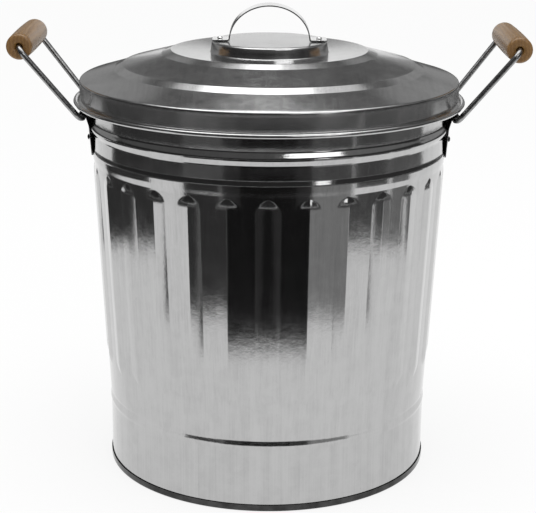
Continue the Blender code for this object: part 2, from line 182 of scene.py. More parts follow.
def evenAngles(columns):
    # 2 pi k / n for each column k of n
    return np.arange(columns) * 2 * math.pi / columns


# helpers for finishes


class Value:
    # a node's output that can be used in an expression, which adds its Math nodes
    def __init__(self, finish, socket):
        self.finish, self.socket = finish, socket

    def math(self, operation, other=None, swapped=False):
        first, second = (other, self) if swapped else (self, other)
        values = {0: first} if other is None else {0: first, 1: second}
        return self.finish.node("ShaderNodeMath", {"operation": operation}, values)

    def __add__(self, other):
        return self.math("ADD", other)

    def __sub__(self, other):
        return self.math("SUBTRACT", other)

    def __rsub__(self, other):
        return self.math("SUBTRACT", other, True)

    def __mul__(self, other):
        return self.math("MULTIPLY", other)

    __radd__, __rmul__ = __add__, __mul__

    def between(self, low, high):
        # 0 up to low, 1 from high on, smooth in between
        return self.finish.node("ShaderNodeMapRange", {"interpolation_type": "SMOOTHSTEP"},
                                {"Value": self, "From Min": low, "From Max": high})


class Finish:
    # a material, or the world, with the nodes that are added to it
    def __init__(self, name, world=False):
        self.owner = (bpy.data.worlds if world else bpy.data.materials).new(name)
        self.owner.use_nodes = True
        self.tree = self.owner.node_tree
        self.tree.nodes.clear()
        self.output = self.tree.nodes.new("ShaderNodeOutputWorld" if world else "ShaderNodeOutputMaterial")

    def node(self, kind, settings=None, values=None, output=0):
        # any node from its type, its settings, the values or links of its sockets, and its output
        made = self.tree.nodes.new(kind)
        for key, value in (settings or {}).items():
            setattr(made, key, value)
        for key, value in (values or {}).items():
            if isinstance(value, Value):
                self.tree.links.new(value.socket, made.inputs[key])
            else:
                made.inputs[key].default_value = value
        return Value(self, made.outputs[output])

    def place(self):
        return self.node("ShaderNodeTexCoord", output="Object")

    def scaled(self, vector, x, y, z):
        return self.node("ShaderNodeVectorMath", {"operation": "MULTIPLY"}, {0: vector, 1: (x, y, z)})

    def axes(self, vector):
        split = self.tree.nodes.new("ShaderNodeSeparateXYZ")
        self.tree.links.new(vector.socket, split.inputs[0])
        return [Value(self, out) for out in split.outputs]

    def noise(self, vector, scale=1.0, detail=2.0, roughness=0.5, distortion=0.0):
        return self.node("ShaderNodeTexNoise", {}, {"Vector": vector, "Scale": scale, "Detail": detail,
                                                    "Roughness": roughness, "Distortion": distortion})

    def mixed(self, factor, first, second):
        # sockets 6 and 7 and output 2 are the Mix node's colours
        return self.node("ShaderNodeMix", {"data_type": "RGBA"}, {0: factor, 6: first, 7: second}, 2)

    def bump(self, height, distance, strength=1.0, normal=None):
        values = {"Height": height, "Distance": distance, "Strength": strength}
        if normal is not None:
            values["Normal"] = normal
        return self.node("ShaderNodeBump", {}, values)

    def finished(self, shader):
        self.tree.links.new(shader.socket, self.output.inputs["Surface"])
        return self.owner

    def surface(self, **values):
        # keyword names are the shader's sockets with underscores for spaces
        named = {key.replace("_", " "): value for key, value in values.items()}
        return self.finished(self.node("ShaderNodeBsdfPrincipled", {}, named))


def grey(value):
    # a neutral colour
    return (value, value, value, 1)


# the bin: body wall, its rim wire and its base

# metres from the bin's axis and from the floor; a bead is its crest's radius and height, and half its height
bodySizes = {
    "sheet": 0.0007, "height": 0.3904,
    "rimWire": 0.0032, "rimGap": 0.0005, "rimTurn": 290,
    "neckRadius": 0.1741, "neckDraw": 0.0006,  # how much the neck draws in downwards
    "neckLine": ((0.3830, 0), (0.3816, 0), (0.3806, 0), (0.3796, 0), (0.3580, 0.8)),  # height, share of draw
    "shoulderBead": (0.1758, 0.3445, 0.0072), "waistRadius": 0.1733, "waistBead": (0.1739, 0.3195, 0.0058),
    "guard": 0.0006,  # a row this far from a bead keeps the flat next to it flat
    "waistFade": 0.0112,  # how far below its crest the lower bead has run into the taper
    "waistTilt": ((0, 0), (0.10, 0.3), (0.40, 0.3), (0.52, 1), (0.90, 1), (1, 0)),  # share of the fade, tilt
    "fadeShares": (0.05, 0.10, 0.25, 0.40, 0.46, 0.52, 0.65, 0.80, 0.90, 0.95, 1.0, 1.05),
    "landTopRadius": 0.1723, "landHeights": (0.25, 0.20, 0.155), "footRadius": 0.1600,
    "ribCount": 29, "ribTop": 0.3075, "ribBottom": 0.1065,
    "ribHalfWidth": 0.0122, "ribHeight": 0.0016, "ribCrest": 0.0010, "ribFillet": 0.00005, "ribEnd": 0.0122,
    "ribColumns": (0, 0.0008, 0.0018, 0.0030, 0.0046, 0.0066, 0.0086, 0.0104, 0.0115, 0.0122, 0.0130),
    "ribRows": (0.0124, 0.0120, 0.0115, 0.0109, 0.0102, 0.0094, 0.0085, 0.0075, 0.0064, 0.0052, 0.0040,
                0.0026, 0.0012, 0),
    "swageHeight": 0.0655, "swageRise": 0.00086, "swageReach": 0.0070,
    "swageFlare": (0.0085, 0.0060, 0.0040, 0.0020, 0.0008),
    "swageLine": ((0.0068, 0), (0.0058, 0.06), (0.0048, 0.20), (0.0038, 0.40), (0.0028, 0.60), (0.0018, 0.80),
                  (0.0008, 0.95), (0, 1), (-0.0010, 0.90), (-0.0020, 0.62), (-0.0030, 0.30), (-0.0040, 0.08),
                  (-0.0048, 0)),  # height from the swage's crest, share of its rise
    "footHeights": (0.0100, 0.0088, 0.0078, 0.0060, 0.0032, 0.0012),
    "seamHalfWidth": 0.0040, "seamHeight": 0.0012, "seamTop": 0.3806, "seamFoot": 0.0088,
    "seamEdge": 0.0009, "seamRunout": 0.0016, "seamColumns": (0.0029, 0.0036, 0.0040, 0.0044, 0.0049),
}


def bodyLand(height):
    # the straight taper of the ribbed wall: foot radius + (top radius - foot radius) x share of the height
    s = bodySizes
    share = (height - s["swageHeight"]) / (s["ribTop"] - s["swageHeight"])
    return s["footRadius"] + (s["landTopRadius"] - s["footRadius"]) * share


def waistRise(height):
    # how far the lower bead still stands above the taper below its crest: rise (1 - fall), where the fall is
    # the running sum of a tilt that grows to a gentle one, then to the full one, and dies out
    s = bodySizes
    radius, crest, _ = s["waistBead"]
    share = np.linspace(0, 1, 201)
    tilt = np.interp(share, *zip(*s["waistTilt"]))
    fall = np.cumsum(tilt) / tilt.sum()
    return (radius - bodyLand(crest)) * (1 - np.interp((crest - height) / s["waistFade"], share, fall))


def ribShape(across, along):
    # a ridge with a rounded crest that sinks into the wall at its tips along a parabola, filleted all round:
    # height (1 - (sqrt(a**2 + c**2) - c) / (sqrt(w**2 + c**2) - c) - (l / e)**2), with a across the ridge,
    # w its half width, c the crest's roundness, l how far past the straight part and e the tip's length
    s = bodySizes
    crest, width, fillet = s["ribCrest"], s["ribHalfWidth"], s["ribFillet"]
    fall = (np.sqrt(across ** 2 + crest ** 2) - crest) / (math.hypot(width, crest) - crest)
    plain = s["ribHeight"] * (1 - fall - (along / s["ribEnd"]) ** 2)
    soft = (plain + fillet) ** 2 / (4 * fillet)
    return np.where(plain > fillet, plain, np.where(plain < -fillet, 0, soft))


def bodyLift(angle, height):
    # what stands out of the turned wall: the ribs, straight between their tips, and the lock seam at the
    # back, a flat strip whose sides rise along t**2 (3 - 2t)
    s = bodySizes
    pitch = 2 * math.pi / s["ribCount"]
    across = (angle - np.round(angle / pitch) * pitch) * s["landTopRadius"]
    above = height - (s["ribTop"] - s["ribHalfWidth"])
    below = s["ribBottom"] + s["ribHalfWidth"] - height
    along = np.maximum(np.maximum(above, below), 0)
    ribs = ribShape(across, along) * (along < 2 * s["ribHalfWidth"])
    side = np.abs(angle - math.pi) * s["neckRadius"]
    seam = np.clip((s["seamHalfWidth"] - side) / s["seamEdge"] + 0.5, 0, 1)
    top = np.clip((s["seamTop"] - height) / s["seamRunout"] + 0.5, 0, 1)
    foot = np.clip((height - s["seamFoot"]) / s["seamRunout"] + 0.5, 0, 1)
    return ribs + s["seamHeight"] * seam * seam * (3 - 2 * seam) * (top * foot)


def bodyAngles():
    # columns that follow each rib's crest, flanks and feet, the middle between two ribs, and the seam's edges
    s = bodySizes
    half = np.array(s["ribColumns"])
    between = [math.pi / s["ribCount"] * s["landTopRadius"]]
    one = np.concatenate([-half[:0:-1], half, between]) / s["landTopRadius"]
    every = (evenAngles(s["ribCount"])[:, None] + one).ravel() % (2 * math.pi)
    every = every[np.abs(every - math.pi) > 1e-6]  # the seam's own middle column stands there
    edge = np.array(s["seamColumns"]) / s["neckRadius"]
    return np.sort(np.concatenate([every, math.pi + edge, math.pi - edge, [math.pi]]))


def bodyMiddle():
    # the middle line of the wall from the free end of the rim's curl down to the hem in the base pan
    s = bodySizes
    half = s["sheet"] / 2
    roll = s["rimWire"] / 2 + s["rimGap"] + half
    centre = (s["neckRadius"] - half + roll, s["height"] - roll - half)
    line = [arc(centre, roll, 180 - s["rimTurn"], s["rimTurn"], 20)]
    line.append([(s["neckRadius"] - half - s["neckDraw"] * draw, height) for height, draw in s["neckLine"]])
    # the shoulder bead: base + (crest - base) cos**2 on either side, from the neck down to the waist
    share = np.linspace(1, -1, 21)
    radius, height, halfWidth = s["shoulderBead"]
    base = np.where(share > 0, s["neckRadius"] - s["neckDraw"], s["waistRadius"])
    bead = base + (radius - base) * np.cos(math.pi / 2 * share) ** 2
    line.append(np.stack([bead - half, height + halfWidth * share], 1))
    line.append([(s["waistRadius"] - half, height - halfWidth - s["guard"])])
    # the waist bead: cos**2 above its crest, and a long run into the taper below it
    share = np.linspace(1, 0, 11)
    radius, height, halfWidth = s["waistBead"]
    line.append([(s["waistRadius"] - half, height + halfWidth + s["guard"])])
    bead = s["waistRadius"] + (radius - s["waistRadius"]) * np.cos(math.pi / 2 * share) ** 2
    line.append(np.stack([bead - half, height + halfWidth * share], 1))
    fade = height - s["waistFade"] * np.array(s["fadeShares"])
    # the taper, with rows close together at the tips of the ribs and above the swage
    rows = np.array(s["ribRows"])
    tips = s["ribTop"] - s["ribHalfWidth"] + rows
    feet = s["ribBottom"] + s["ribHalfWidth"] - rows[::-1]
    flare = s["swageHeight"] + s["swageReach"] + np.array(s["swageFlare"])
    for heights in (fade, np.concatenate([tips, s["landHeights"], feet, flare])):
        line.append(np.stack([bodyLand(heights) + waistRise(heights) - half, heights], 1))
    foot = s["footRadius"] - half
    line.append([(foot + s["swageRise"] * rise, s["swageHeight"] + lift) for lift, rise in s["swageLine"]])
    line.append([(foot, height) for height in s["footHeights"]])
    return np.vstack(line)


# finishes

# scales are noise scales, or three of them where a pattern is drawn out along an axis; depths are in metres
steelLook = {
    "pale": grey(0.50), "dark": grey(0.42), "speck": grey(0.22), "roughness": 0.11,
    "streakScale": (700, 700, 9), "streakDepth": 0.000014, "broadScale": (90, 90, 4), "mottleScale": 60,
    "spangleScale": 120, "speckScale": 900, "waveScale": (16, 16, 9), "waveDepth": 0.00006,
    "grainScale": 110, "grainDepth": 0.00007,
    "hemShadePale": grey(0.075), "hemShadeDark": grey(0.040), "hemShadeEdge": (0.0092, 0.0100),  # painted shade: the hem is darkened up to there
}
lidLook = {
    "pale": grey(0.54), "dark": grey(0.42), "speck": grey(0.20), "roughness": 0.17,
    "streakScale": (500, 14, 60), "streakDepth": 0.00002, "mottleScale": 70, "cloudScale": 14,
    "speckScale": 800, "waveScale": 14, "waveDepth": 0.00005,
}
strapLook = {"pale": grey(0.78), "dark": grey(0.62), "roughness": 0.14, "stretch": (40, 900, 40),
             "depth": 0.00001}
bracketLook = {"pale": grey(0.060), "dark": grey(0.020), "roughness": 0.42, "stretch": (260, 260, 260),
               "depth": 0.00006}
wireLook = {"pale": grey(0.40), "dark": grey(0.24), "roughness": 0.26, "stretch": (160, 160, 160),
            "depth": 0.00003}
woodLook = {
    "pale": (0.245, 0.130, 0.034, 1), "dark": (0.178, 0.088, 0.019, 1), "burnt": (0.09, 0.040, 0.018, 1),
    "roughness": 0.42, "coat": 0.35, "coatRoughness": 0.22,
    "grainScale": (420, 26, 420), "grainDepth": 0.00012, "broadScale": (60, 9, 60),
    "ringStretch": (1, 0.12, 1), "ringScale": 90, "poreScale": (1300, 90, 1300),
    "endEdge": (0.0510, 0.0560), "endShare": 0.30,  # the burnt ends begin this far from the grip's middle
}


def makeBodySteel(name, foot=False):
    # galvanised sheet: upright drawing lines, faint spangle, specks and slow waves; foot paints shade on the
    # hem
    look, f = steelLook, Finish(name)
    place = f.place()
    fine = f.noise(f.scaled(place, *look["streakScale"]), 1, 3, 0.6)
    broad = f.noise(f.scaled(place, *look["broadScale"]), 1, 3, 0.55)
    mottle = f.noise(place, look["mottleScale"], 5, 0.62)
    cellValues = {"Vector": place, "Scale": look["spangleScale"], "Randomness": 1}
    cells = f.axes(f.node("ShaderNodeTexVoronoi", {}, cellValues, "Color"))[0]
    specks = f.noise(place, look["speckScale"], 2, 0.5).between(0.70, 0.78)
    tone = 0.34 * fine + 0.34 * broad + 0.28 * mottle + 0.04 * cells
    colour = f.mixed(tone.between(0.30, 0.62), look["dark"], look["pale"])
    colour = f.mixed(specks * 0.5, colour, look["speck"])
    # painted shade: with foot the hem turns near black, standing in for its contact shadow and dark
    # reflection
    if foot:
        paintedHemShade = f.mixed(mottle.between(0.35, 0.65), look["hemShadeDark"], look["hemShadePale"])
        colour = f.mixed(f.axes(place)[2].between(*look["hemShadeEdge"]), paintedHemShade, colour)
    rough = look["roughness"] + 0.10 * (mottle - 0.5) + 0.05 * (fine - 0.5) + 0.06 * specks
    waves = f.noise(f.scaled(place, *look["waveScale"]), 1, 2, 0.5)
    normal = f.bump(waves, look["waveDepth"])
    normal = f.bump(f.noise(place, look["grainScale"], 5, 0.68), look["grainDepth"], 1.0, normal)
    normal = f.bump(fine, look["streakDepth"], 0.5, normal)
    return f.surface(Base_Color=colour, Metallic=1.0, Roughness=rough, Normal=normal)


def makeLidSteel():
    # the lid's sheet: duller, with faint streaks in one direction and a soft mottle
    look, f = lidLook, Finish("galvanisedLid")
    place = f.place()
    fine = f.noise(f.scaled(place, *look["streakScale"]), 1, 3, 0.6)
    mottle = f.noise(place, look["mottleScale"], 5, 0.65)
    cloud = f.noise(place, look["cloudScale"], 3, 0.5)
    specks = f.noise(place, look["speckScale"], 2, 0.5).between(0.70, 0.78)
    tone = 0.3 * fine + 0.45 * mottle + 0.25 * cloud
    colour = f.mixed(tone.between(0.30, 0.64), look["dark"], look["pale"])
    colour = f.mixed(specks * 0.5, colour, look["speck"])
    rough = look["roughness"] + 0.12 * (mottle - 0.5) + 0.06 * (cloud - 0.5) + 0.05 * specks
    normal = f.bump(f.noise(place, look["waveScale"], 2, 0.5), look["waveDepth"])
    normal = f.bump(fine, look["streakDepth"], 0.4, normal)
    return f.surface(Base_Color=colour, Metallic=1.0, Roughness=rough, Normal=normal)


def makeDrawnSteel(name, look):
    # bright or dark drawn metal with lines along one direction
    f = Finish(name)
    place = f.place()
    lines = f.noise(f.scaled(place, *look["stretch"]), 1, 3, 0.6)
    mottle = f.noise(place, 220, 4, 0.6)
    colour = f.mixed((0.5 * lines + 0.5 * mottle).between(0.3, 0.65), look["dark"], look["pale"])
    rough = look["roughness"] + 0.12 * (mottle - 0.5) + 0.06 * (lines - 0.5)
    normal = f.bump(lines, look["depth"], 0.6)
    return f.surface(Base_Color=colour, Metallic=1.0, Roughness=rough, Normal=normal)


def makeWood():
    # turned hardwood: grain along Y, growth rings across it, pores, and ends darkened by the tool
    look, f = woodLook, Finish("turnedWood")
    place = f.place()
    grain = f.noise(f.scaled(place, *look["grainScale"]), 1, 4, 0.62)
    broad = f.noise(f.scaled(place, *look["broadScale"]), 1, 3, 0.5, 0.6)
    ringValues = {"Vector": f.scaled(place, *look["ringStretch"]), "Scale": look["ringScale"],
                  "Distortion": 6, "Detail": 3, "Detail Scale": 1.2}
    rings = f.node("ShaderNodeTexWave", {"wave_type": "BANDS", "bands_direction": "X"}, ringValues, 1)
    pores = f.noise(f.scaled(place, *look["poreScale"]), 1, 2, 0.5).between(0.60, 0.72)
    tone = 0.35 * grain + 0.40 * broad + 0.25 * rings
    colour = f.mixed(tone.between(0.28, 0.72), look["dark"], look["pale"])
    colour = f.mixed(pores * 0.45, colour, look["dark"])
    ends = f.axes(place)[1].math("ABSOLUTE").between(*look["endEdge"])
    colour = f.mixed(ends * look["endShare"], colour, look["burnt"])
    rough = look["roughness"] + 0.15 * (grain - 0.5) + 0.15 * pores
    normal = f.bump(grain - pores * 0.8, look["grainDepth"], 0.6)
    return f.surface(Base_Color=colour, Roughness=rough, Coat_Weight=look["coat"],
                     Coat_Roughness=look["coatRoughness"], Normal=normal)


bodySteel = makeBodySteel("galvanisedSteel")
# the base pan's finish, with painted shade on its hem
hemShadedSteel = makeBodySteel("hemShadedSteel", True)
lidSteel = makeLidSteel()
strapSteel = makeDrawnSteel("brightStrap", strapLook)
bracketSteel = makeDrawnSteel("darkBracket", bracketLook)
wireSteel = makeDrawnSteel("zincWire", wireLook)
wood = makeWood()
print("finishes made")

# the bin's pieces

bodyPoints, bodyFaces = turned(sheetOutline(bodyMiddle(), bodySizes["sheet"]), bodyAngles(), bodyLift)
makePiece("bodyWall", bodyPoints, bodyFaces, bodySteel, "bin", ["body_wall"])

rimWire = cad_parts["body_rim_wire"]
rimWire.data.materials.clear()
rimWire.data.materials.append(wireSteel)

baseSizes = {
    "sheet": 0.0007, "gap": 0.0003, "recess": 0.0100, "corner": 0.0035, "flatRadii": (0.0, 0.05, 0.10, 0.14),
    "hookHeights": (0.0030, 0.0052, 0.0064), "columns": 288,
}


def baseMiddle():
    # the pan's middle line from its centre out, down inside the foot and round the wall's edge
    s, half = baseSizes, baseSizes["sheet"] / 2
    inside = bodySizes["footRadius"] - bodySizes["sheet"] - s["gap"] - half
    outside = bodySizes["footRadius"] + s["gap"] + half
    turn = (outside - inside) / 2
    flat = [(radius, s["recess"]) for radius in (*s["flatRadii"], inside - s["corner"])]
    down = arc((inside - s["corner"], s["recess"] - s["corner"]), s["corner"], 90, -90, 6)[1:]
    under = arc(((inside + outside) / 2, turn + half), turn, 180, 180, 8)
    up = [(outside, height) for height in s["hookHeights"]]
    return np.vstack([flat, down, under, up])


baseLine = sheetOutline(baseMiddle(), baseSizes["sheet"])
basePoints, baseFaces = turned(baseLine, evenAngles(baseSizes["columns"]), poles=True)
makePiece("basePan", basePoints, baseFaces, hemShadedSteel, "bin", ["base_pan"])
print("bin made")

# the lid

# each ring and step is its outer radius and its height above the one before it, from the shoulder inwards
lidSizes = {
    "sheet": 0.0007, "gap": 0.0003, "shoulderRadius": 0.1851, "corner": 0.0018,
    "outerRing": (0.1515, 0.0101), "outerStep": (0.1432, 0.0043), "innerRing": (0.1052, 0.0101),
    "innerStep": (0.0959, 0.0036), "bossFoot": (0.0574, -0.0023), "boss": (0.0556, 0.0108),
    "bossCorner": 0.0018, "bossFootCorner": 0.0012, "ringCorner": 0.0014, "waistCorner": 0.0006,
    "skirtDepth": 0.0225, "waistRadius": 0.1849, "waistDrop": 0.0184,
    "edgeRadius": 0.1912, "edgeRoll": 0.0022, "edgeStart": 150, "edgeTurn": -250,
    "columns": 288, "rowSpacing": 0.0035,
}
ringNames = ("outerRing", "outerStep", "innerRing", "innerStep", "bossFoot", "boss")


def lidHeights():
    # the shoulder's height, where the lid's underside meets the rolled rim, and each ring's height above it
    s, b = lidSizes, bodySizes
    roll = b["rimWire"] / 2 + b["rimGap"] + b["sheet"] / 2
    centreRadius = b["neckRadius"] - b["sheet"] / 2 + roll
    centreHeight = b["height"] - roll - b["sheet"] / 2
    slope = s["outerRing"][1] / (s["shoulderRadius"] - s["outerRing"][0])
    rise = (roll + b["sheet"] / 2 + s["gap"] + s["sheet"]) * math.hypot(1, slope)
    shoulder = centreHeight + rise - slope * (s["shoulderRadius"] - centreRadius)
    heights = [shoulder]
    for name in ringNames:
        heights.append(heights[-1] + s[name][1])
    return heights, slope


def lidMiddle():
    # the lid's middle line: straight stretches from ring to ring with an arc at each corner, from the centre
    # out to the shoulder, down the skirt to its waist and round the rolled edge
    s = lidSizes
    half = s["sheet"] / 2
    (shoulder, *rings), slope = lidHeights()
    roll = (s["edgeRadius"] - s["edgeRoll"], shoulder - s["skirtDepth"] + s["edgeRoll"])
    corners = [(s[name][0], height - half) for name, height in zip(ringNames, rings)][::-1]
    corners = [(0, corners[0][1])] + corners + [
        (s["shoulderRadius"] - half, shoulder - half + slope * half),
        (s["waistRadius"] - half, shoulder - s["waistDrop"]),
        (s["waistRadius"] + s["edgeRoll"] / 2, roll[1] + s["edgeRoll"] / 2)]
    radii = [s["bossCorner"], s["bossFootCorner"]] + [s["ringCorner"]] * 4 + [s["corner"], s["waistCorner"]]
    edge = arc(roll, s["edgeRoll"] - half, s["edgeStart"], s["edgeTurn"], 16)
    middle = np.vstack([rounded(corners, radii, 7)[:-1], edge])
    # long straight stretches get a few points between their ends
    gaps = np.linalg.norm(np.diff(middle, axis=0), axis=1)
    line = [middle[:1]]
    for start, end, gap in zip(middle, middle[1:], gaps):
        count = max(1, int(round(gap / s["rowSpacing"])))
        line.append(start + (end - start) * (np.arange(1, count + 1) / count)[:, None])
    return np.vstack(line)


lidLine = sheetOutline(lidMiddle(), lidSizes["sheet"])
lidPoints, lidFaces = turned(lidLine, evenAngles(lidSizes["columns"]), poles=True)
makePiece("lidPan", lidPoints, lidFaces, lidSteel, "lid", ["lid_pan"])

# the span is measured outside the arch, the reach of a foot from there
strapSizes = {
    "sheet": 0.0012, "width": 0.0240, "span": 0.0790, "rise": 0.0350, "foot": 0.0160, "corner": 0.0030,
    "bend": 0.0020, "bendStart": 0.0004, "archCorner": 0.0001, "rivetShare": 0.55,
    "archSteps": 60, "cornerSteps": 8, "columns": 9,
}


def strapGrid():
    # a half-ellipse arch (a cos t, b sin t) between two flat feet with round corners, as a grid of middle
    # points along and across, narrower by r (1 - sin t) at the corners
    s = strapSizes
    floor = lidHeights()[0][-1] + lidSizes["gap"] + s["sheet"] / 2
    halfSpan = (s["span"] - s["sheet"]) / 2
    end = s["span"] / 2 + s["foot"]
    rise = s["rise"] - lidSizes["gap"] - s["sheet"]
    angle = np.linspace(math.pi, 0, s["archSteps"] + 1)
    arch = np.stack([halfSpan * np.cos(angle), floor + rise * np.sin(angle)], 1)[2:-2]
    steps = s["cornerSteps"]
    ends = np.linspace(0, 1, steps + 1)
    foot = np.stack([-end + s["corner"] * (1 - np.cos(ends * math.pi / 2)), np.full(steps + 1, floor)], 1)
    knee = (-halfSpan - s["bendStart"], floor)
    bend = rounded([foot[-1], knee, arch[0], arch[1]], [s["bend"], s["archCorner"]], 6)[:-3]
    corner = 1 - s["corner"] * (1 - np.sin(ends[:-1] * math.pi / 2)) / (s["width"] / 2)
    path = np.vstack([foot[:-1], bend, arch, (bend * (-1, 1))[::-1], (foot[:-1] * (-1, 1))[::-1]])
    share = np.concatenate([corner, np.ones(len(bend) * 2 + len(arch)), corner[::-1]])
    across = np.linspace(-1, 1, s["columns"]) * s["width"] / 2
    grid = np.zeros((len(path), s["columns"], 3))
    grid[:, :, 0], grid[:, :, 2] = path[:, :1], path[:, 1:]
    grid[:, :, 1] = across * share[:, None]
    return grid


edgeBevel = {"width": 0.0002, "segments": 2, "angle": 50}


def softEdges(piece):
    # a small bevel takes the sharpness off sheared edges
    bevel = piece.modifiers.new("softEdges", "BEVEL")
    bevel.width, bevel.segments = edgeBevel["width"], edgeBevel["segments"]
    bevel.limit_method, bevel.angle_limit = "ANGLE", math.radians(edgeBevel["angle"])
    bevel.use_clamp_overlap = True


strapPoints, strapFaces = slab(strapGrid(), strapSizes["sheet"])
softEdges(makePiece("lidStrap", strapPoints, strapFaces, strapSteel, "lid",
                    ["lid_handle_strap"]))

rivetSizes = {"shank": 0.0034, "head": 0.0056, "headHeight": 0.0018, "tail": 0.0048, "tailHeight": 0.0012,
              "columns": 32}


def rivetOutline(grip):
    # along Z: a domed head (r cos t, h sin t) that seats at 0, the shank, and a flatter domed tail at -grip
    s = rivetSizes
    angle = np.radians(np.linspace(90, 0, 8))
    head = np.stack([s["head"] / 2 * np.cos(angle), s["headHeight"] * np.sin(angle)], 1)
    tail = np.stack([s["tail"] / 2 * np.cos(angle[::-1]), -grip - s["tailHeight"] * np.sin(angle[::-1])], 1)
    head[0, 0] = tail[-1, 0] = 0
    return np.vstack([head, [(s["shank"] / 2, 0), (s["shank"] / 2, -grip)], tail])


def makeRivet(name, matrix, grip, finish, body, node):
    # the grip is the thickness that the rivet holds
    points, faces = turned(rivetOutline(grip), evenAngles(rivetSizes["columns"]), poles=True)
    makePiece(name, placed(points, matrix), faces, finish, body, [node], 50)


bossTop = lidHeights()[0][-1]
strapSeat = bossTop + lidSizes["gap"] * 2 + strapSizes["sheet"]
strapGrip = strapSeat - (bossTop - lidSizes["sheet"] - lidSizes["gap"])
strapRivetPlace = strapSizes["span"] / 2 + strapSizes["foot"] * strapSizes["rivetShare"]
for side, sign in (("Left", -1), ("Right", 1)):
    makeRivet("strapRivet" + side, Matrix.Translation((sign * strapRivetPlace, 0, strapSeat)), strapGrip,
              strapSteel, "lid", "lid_handle_" + side.lower() + "_rivet")
print("lid made")

# the side handles: brackets, bails and grips

handleSizes = {
    "wire": 0.0057, "reach": 0.0890, "pivotHalf": 0.0495, "gripHalf": 0.0614, "bend": 0.0080, "butt": 0.0008,
    "angle": 51.4, "pivotHeight": 0.3555, "plate": 0.0012, "gap": 0.0003, "plateWidth": 0.0700,
    "plateBottom": 0.3165, "plateCorner": 0.0050, "plateColumns": 21, "plateRows": 8, "rollTurn": 305,
    "rivetHeight": 0.3330, "rivetSpacing": 0.0440, "wireSides": 24, "gripColumns": 72,
    "grip": 0.0258, "gripEnd": 0.0246, "gripLength": 0.1110, "bore": 0.0066, "mouth": 0.0100, "edge": 0.0030,
}
plateRadius = bodySizes["shoulderBead"][0] + handleSizes["gap"] + handleSizes["plate"] / 2
plateRoll = handleSizes["wire"] / 2 + handleSizes["gap"] + handleSizes["plate"] / 2
pivotRadius = plateRadius + plateRoll


def bailMatrix(turn):
    # local X runs out along the arms and local Y along the pivot
    h = handleSizes
    return (Matrix.Rotation(turn, 4, "Z") @ Matrix.Translation((pivotRadius, 0, h["pivotHeight"]))
            @ Matrix.Rotation(-math.radians(h["angle"]), 4, "Y"))


def bailPath():
    # straight wire round four corners of one radius, from the middle of the pivot back to it
    h = handleSizes
    corners = [(0, h["butt"] / 2, 0), (0, h["pivotHalf"], 0), (h["reach"], h["gripHalf"], 0),
               (h["reach"], -h["gripHalf"], 0), (0, -h["pivotHalf"], 0), (0, -h["butt"] / 2, 0)]
    return rounded(corners, [h["bend"]] * 4, 12)


def gripOutline():
    # a barrel, end + (middle - end) (1 - t**2), with rounded edges and a bore with flared mouths
    h = handleSizes
    half, edge = h["gripLength"] / 2, h["edge"]
    t = np.linspace(-1, 1, 25)
    barrel = h["gripEnd"] / 2 + (h["grip"] - h["gripEnd"]) / 2 * (1 - t ** 2)
    body = np.stack([barrel, t * (half - edge)], 1)
    low = arc((h["gripEnd"] / 2 - edge, -half + edge), edge, -90, 90, 6)[:-1]
    high = arc((h["gripEnd"] / 2 - edge, half - edge), edge, 0, 90, 6)[1:]
    lip = (h["mouth"] - h["bore"]) / 2
    inside = [(h["mouth"] / 2, half), (h["bore"] / 2, half - lip),
              (h["bore"] / 2, -half + lip), (h["mouth"] / 2, -half)]
    return np.vstack([low, body, high, inside])


def plateLine(height):
    # the plate's radius: a straight line that leans on the crests of both beads
    (lowRadius, lowHeight, _), (_, highHeight, _) = bodySizes["waistBead"], bodySizes["shoulderBead"]
    low = lowRadius + handleSizes["gap"] + handleSizes["plate"] / 2
    return low + (plateRadius - low) * np.minimum((height - lowHeight) / (highHeight - lowHeight), 1)


def bracketGrid():
    # a plate (sqrt(r**2 - y**2), y, z) with round lower corners; its top flattens and rolls round the bail
    h = handleSizes
    corner, rows, columns = h["plateCorner"], h["plateRows"], h["plateColumns"]
    turn = np.linspace(0, math.pi / 2, rows)
    low = h["plateBottom"] + corner * (1 - np.cos(turn))
    high = np.linspace(h["plateBottom"] + corner, h["pivotHeight"], rows + 2)[1:-1]
    heights = np.concatenate([low, high])
    roll = arc((pivotRadius, h["pivotHeight"]), plateRoll, 180, -h["rollTurn"], 28)
    path = np.vstack([np.stack([plateLine(heights), heights], 1), roll])
    share = np.ones(len(path))
    share[:rows] = (h["plateWidth"] / 2 - corner * (1 - np.sin(turn))) / (h["plateWidth"] / 2)
    bead = bodySizes["shoulderBead"][1]
    bend = np.zeros(len(path))
    bend[:rows] = 1
    bend[rows:2 * rows] = np.clip((h["pivotHeight"] - high) / (h["pivotHeight"] - bead), 0, 1)
    y = np.linspace(-1, 1, columns) * h["plateWidth"] / 2 * share[:, None]
    radius = path[:, :1]
    grid = np.zeros((len(path), columns, 3))
    grid[:, :, 0] = radius + (np.sqrt(radius ** 2 - y ** 2) - radius) * bend[:, None]
    grid[:, :, 1], grid[:, :, 2] = y, path[:, 1:]
    return grid


